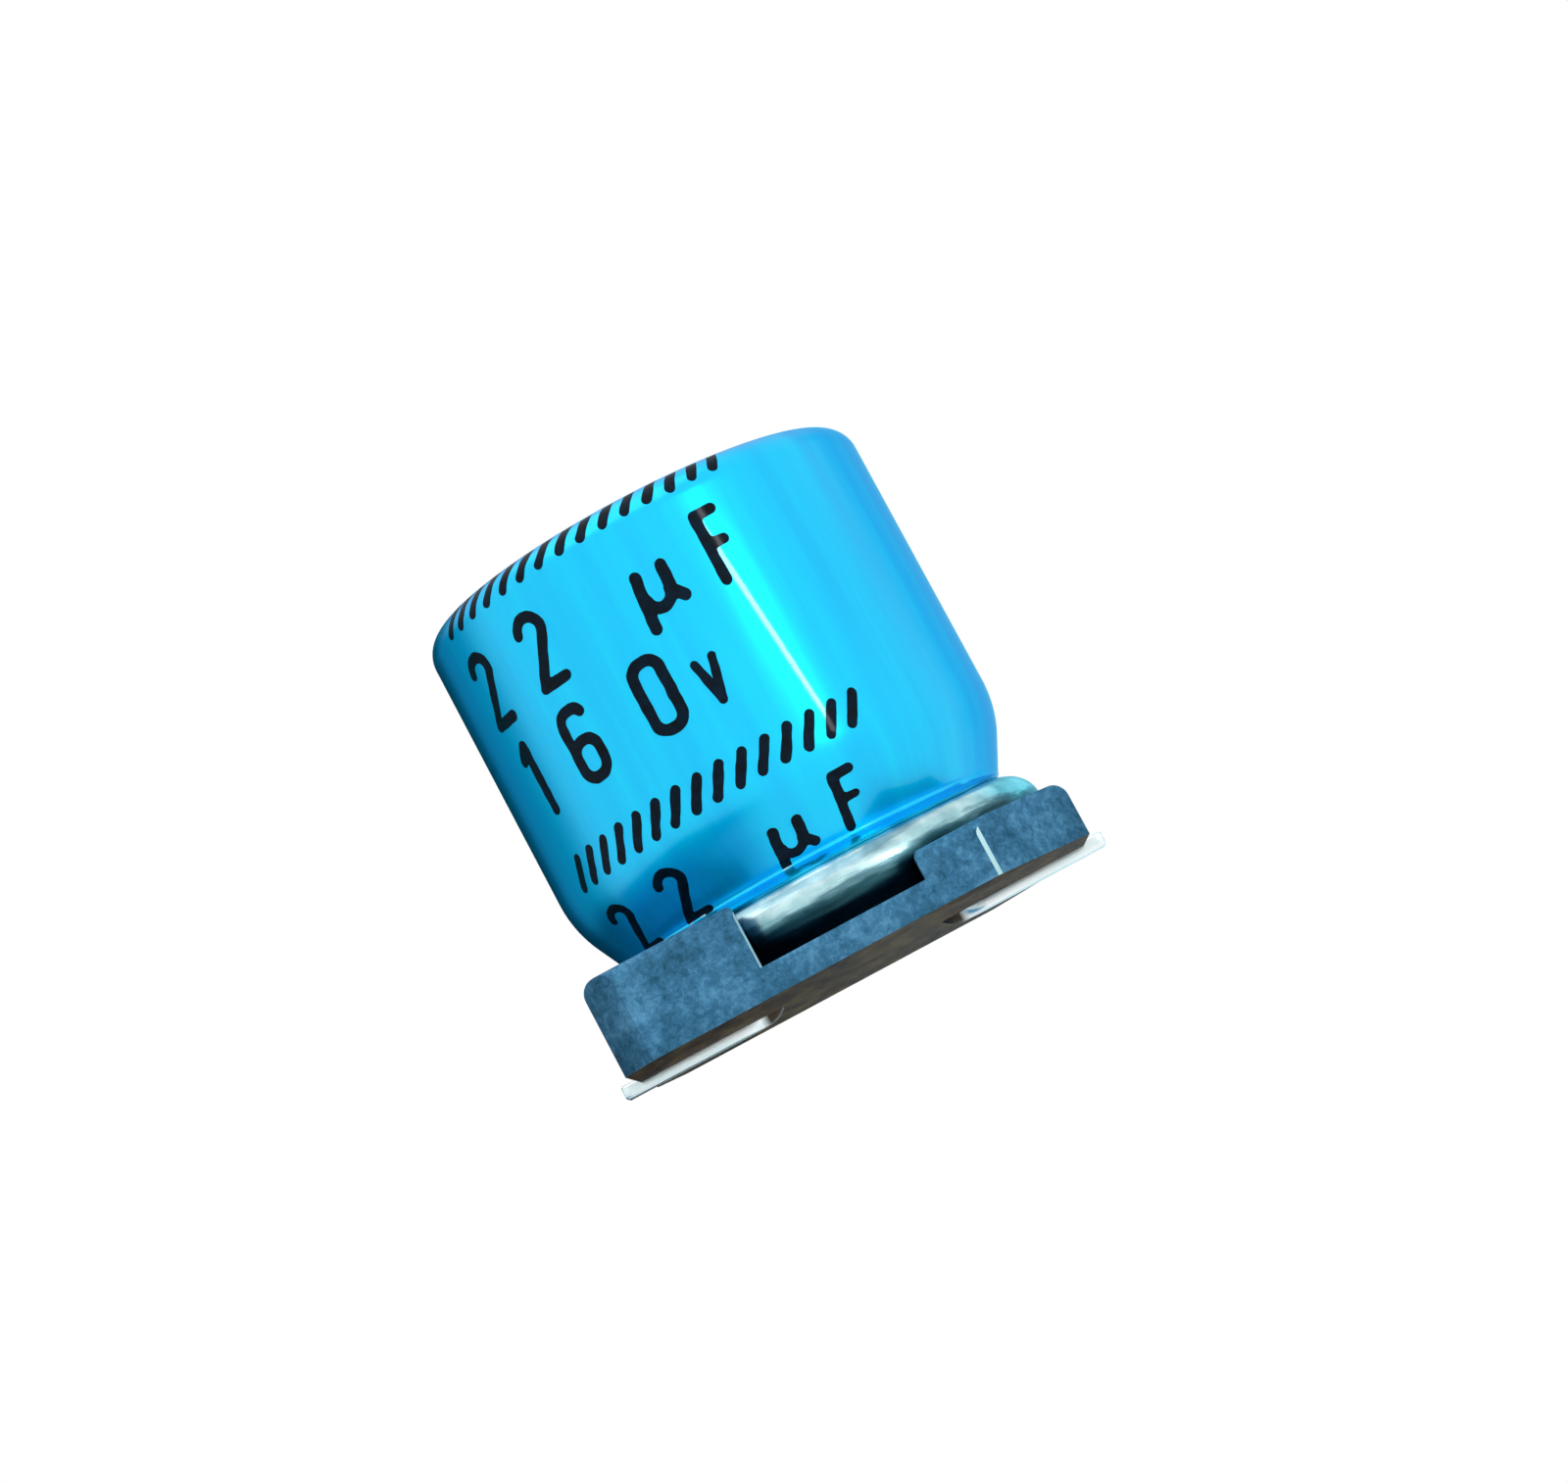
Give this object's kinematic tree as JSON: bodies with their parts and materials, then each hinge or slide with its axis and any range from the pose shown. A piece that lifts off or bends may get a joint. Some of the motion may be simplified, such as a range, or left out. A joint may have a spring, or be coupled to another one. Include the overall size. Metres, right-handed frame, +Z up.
{
  "type": "surface-mount electrolytic capacitor",
  "caption": "Surface-mount aluminium electrolytic capacitor: a sleeved, beaded can in a moulded seat with flat leads.",
  "frame": {"origin": "centre of the plane under the flat leads, where the capacitor meets the circuit board", "axes": "+Z up from the board along the can, +X towards the positive lead and the seat's two cut corners"},
  "size_m": [0.0142, 0.0132, 0.0132],
  "materials": {
    "sleeve_film": "glossy shrunk film with dark print",
    "can_aluminium": "bright drawn aluminium",
    "seal_rubber": "moulded synthetic rubber",
    "wound_paper": "paper soaked in electrolyte, wound with aluminium foil",
    "tape_film": "thin fixing tape",
    "tab_aluminium": "pressed aluminium",
    "tinned_wire": "tinned and pressed flat",
    "seat_plastic": "moulded heat-resistant plastic, satin"
  },
  "bodies": {
    "root": {"sleeve": "sleeve_film", "can": "can_aluminium", "bung": "seal_rubber", "winding": "wound_paper", "winding_tape": "tape_film", "anode_tab": "tab_aluminium", "cathode_tab": "tab_aluminium", "anode_lead": "tinned_wire", "cathode_lead": "tinned_wire", "seat": "seat_plastic"}
  },
  "joints": []
}
